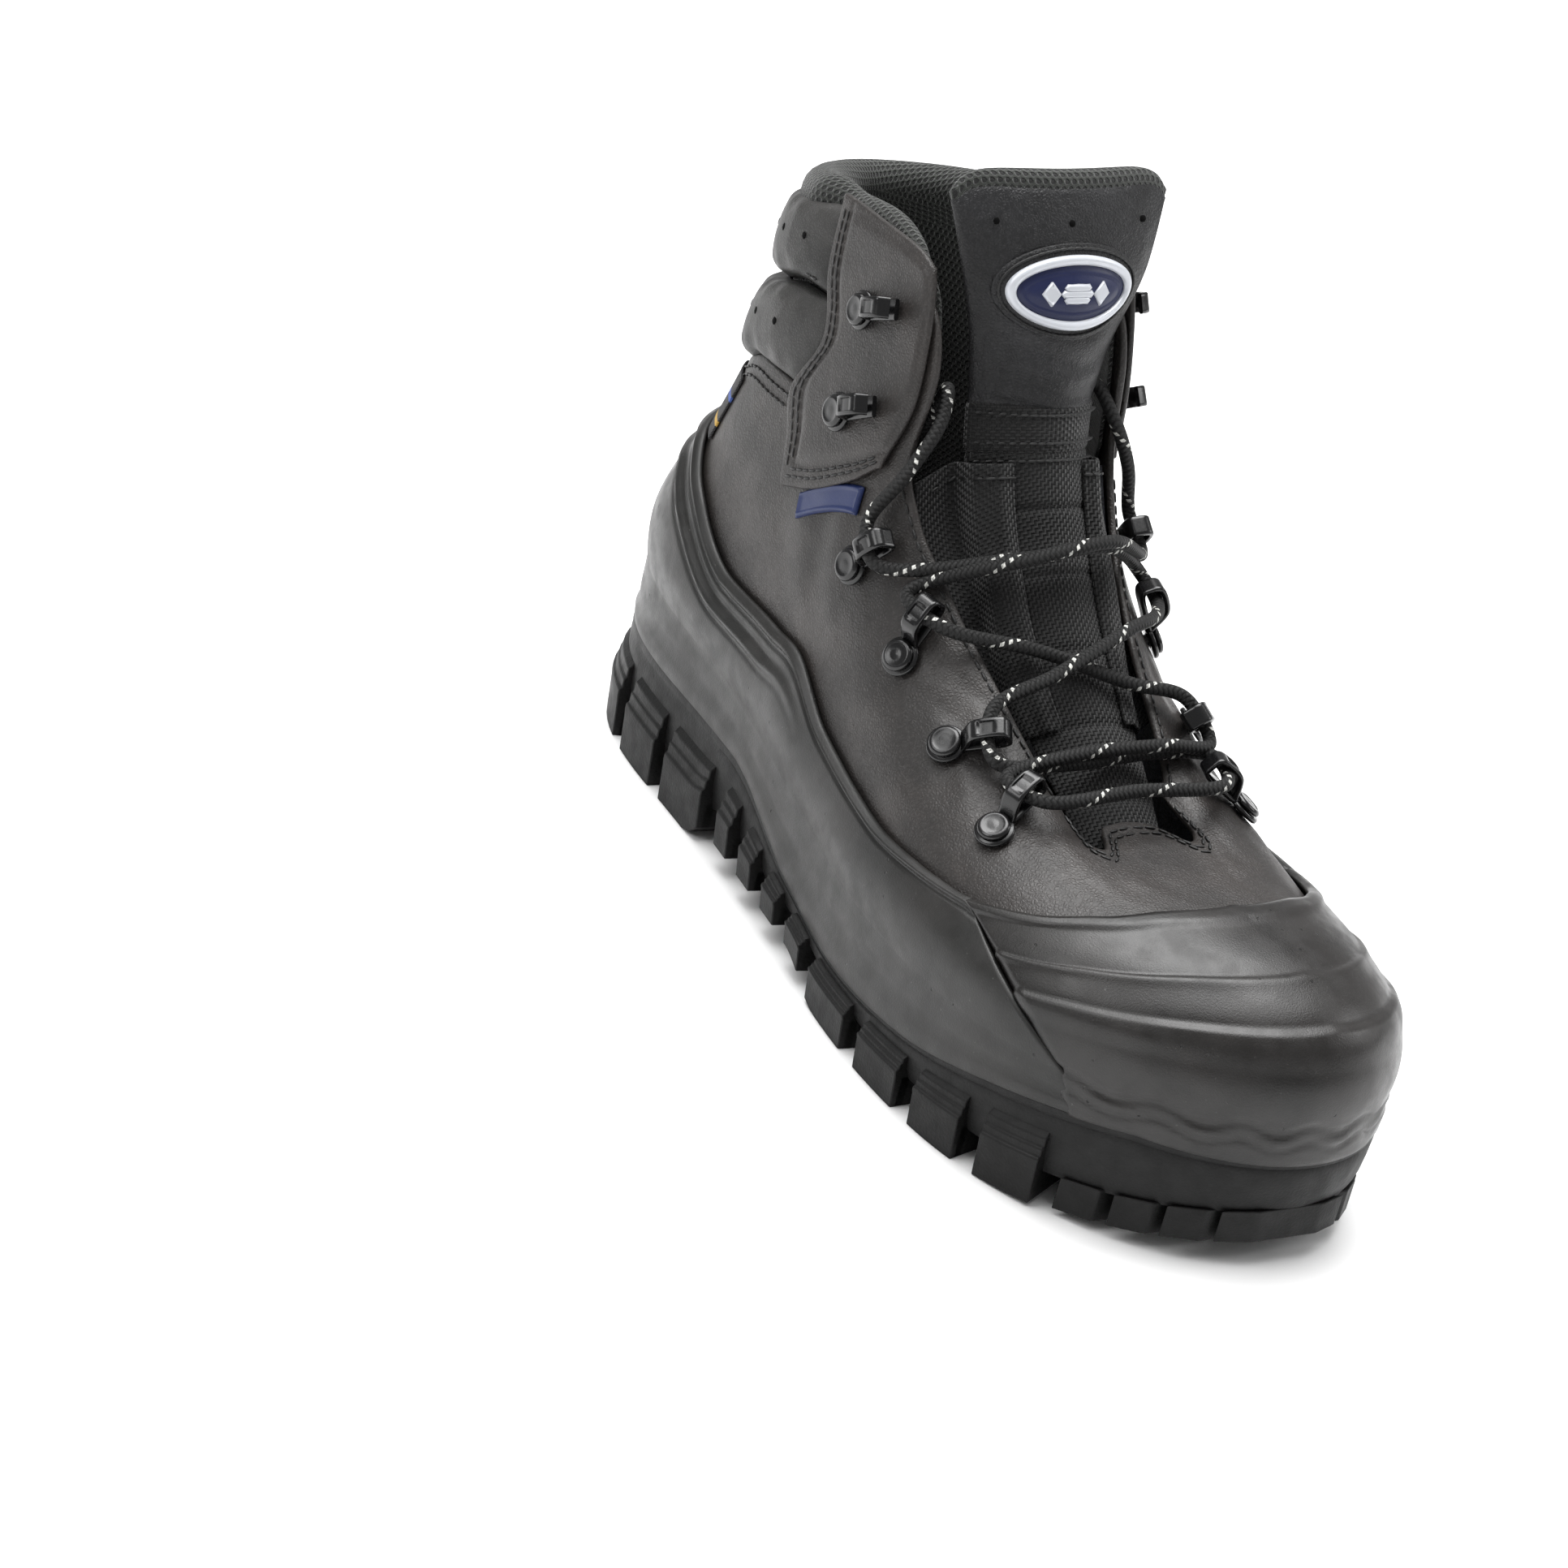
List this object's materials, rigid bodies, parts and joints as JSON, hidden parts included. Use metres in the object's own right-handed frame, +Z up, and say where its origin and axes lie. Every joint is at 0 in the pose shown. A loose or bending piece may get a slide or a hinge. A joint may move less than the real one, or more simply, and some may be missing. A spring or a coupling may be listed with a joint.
{
  "type": "steel toe work boot",
  "caption": "Ankle-height safety work boot with a moulded toe guard, lugged sole, padded collar, laced throat and a tongue that tilts forward.",
  "frame": {"origin": "middle of the boot's bounding box, on the ground", "axes": "+X from the heel to the toe, +Y to the inner side of a right foot, +Z up"},
  "size_m": [0.2968, 0.115, 0.204],
  "materials": {
    "leather": "fine-grain matt, dark grey",
    "pad_leather": "soft padded, dark grey",
    "tongue_leather": "soft wrinkled, dark grey",
    "midsole": "satin moulded polyurethane, dark grey",
    "guard": "satin moulded scuff cap, dark grey",
    "outsole": "matt moulded rubber, near black",
    "mesh": "knitted spacer mesh, grey-green",
    "nylon_fabric": "woven ballistic nylon, black",
    "webbing": "woven webbing, black",
    "lining": "textile lining, dark grey",
    "footbed": "felt covered foam, dark grey",
    "board": "pressed fibre board, tan",
    "steel": "bare pressed steel",
    "nylon": "glossy moulded nylon, black",
    "lace": "braided polyester, black with pale flecks",
    "badge_rim": "moulded rubber, silver white",
    "badge_face": "moulded rubber, navy",
    "label": "moulded rubber, navy",
    "tag": "woven tag, black with small blue and yellow bars"
  },
  "bodies": {
    "boot": {"outsole": "outsole", "midsole": "midsole", "toe_guard": "guard", "vamp_leather": "leather", "quarter_leather_outer": "leather", "quarter_leather_inner": "leather", "steel_toe_cap": "steel", "heel_counter": "board", "vamp_lining": "lining", "collar_lining_outer": "mesh", "collar_lining_heel": "mesh", "collar_lining_inner": "mesh", "collar_pad_lower": "pad_leather", "collar_pad_upper": "pad_leather", "ankle_panel_outer": "leather", "ankle_panel_inner": "leather", "tongue_lower": "nylon_fabric", "gusset_outer": "nylon_fabric", "gusset_inner": "nylon_fabric", "side_label": "label", "heel_tag": "tag", "puncture_plate": "steel", "insole_board": "board", "footbed": "footbed", "lace": "lace", "aglet_outer": "nylon", "aglet_inner": "nylon", "rivet_outer_1": "nylon", "rivet_outer_2": "nylon", "lace_loop_outer_3": "nylon", "rivet_outer_3": "nylon", "lace_loop_outer_4": "nylon", "rivet_outer_4": "nylon", "lace_loop_outer_5": "nylon", "rivet_outer_5": "nylon", "lace_loop_outer_6": "nylon", "rivet_outer_6": "nylon", "rivet_inner_1": "nylon", "rivet_inner_2": "nylon", "lace_loop_inner_3": "nylon", "rivet_inner_3": "nylon", "lace_loop_inner_4": "nylon", "rivet_inner_4": "nylon", "lace_loop_inner_5": "nylon", "rivet_inner_5": "nylon", "lace_loop_inner_6": "nylon", "rivet_inner_6": "nylon"},
    "tongue_top": {"tongue_leather": "tongue_leather", "tongue_band": "webbing", "tongue_rim": "mesh", "badge_rim": "badge_rim", "badge_face": "badge_face"},
    "hook_outer_1": {"lace_hook_outer_1": "nylon"},
    "hook_outer_2": {"lace_hook_outer_2": "nylon"},
    "hook_inner_1": {"lace_hook_inner_1": "nylon"},
    "hook_inner_2": {"lace_hook_inner_2": "nylon"}
  },
  "joints": [
    {"name": "tongue_tilt", "type": "hinge", "parent": "boot", "child": "tongue_top", "pos_m": [-0.01576, 0, 0.1377], "axis": [0, 1, 0], "range_deg": [-1, 40], "stiffness_Nm_per_rad": 0.4},
    {"name": "hook_outer_1_swivel", "type": "hinge", "parent": "boot", "child": "hook_outer_1", "pos_m": [-0.05753, -0.03325, 0.15759], "axis": [-0.0561, -0.9888, 0.1381], "range_deg": [-15, 15]},
    {"name": "hook_outer_2_swivel", "type": "hinge", "parent": "boot", "child": "hook_outer_2", "pos_m": [-0.05097, -0.03758, 0.13238], "axis": [-0.0381, -0.9853, 0.1667], "range_deg": [-15, 15]},
    {"name": "hook_inner_1_swivel", "type": "hinge", "parent": "boot", "child": "hook_inner_1", "pos_m": [-0.05707, 0.03856, 0.15754], "axis": [0.0523, 0.9905, 0.1273], "range_deg": [-15, 15]},
    {"name": "hook_inner_2_swivel", "type": "hinge", "parent": "boot", "child": "hook_inner_2", "pos_m": [-0.0505, 0.04184, 0.13232], "axis": [0.0714, 0.9856, 0.1534], "range_deg": [-15, 15]}
  ]
}
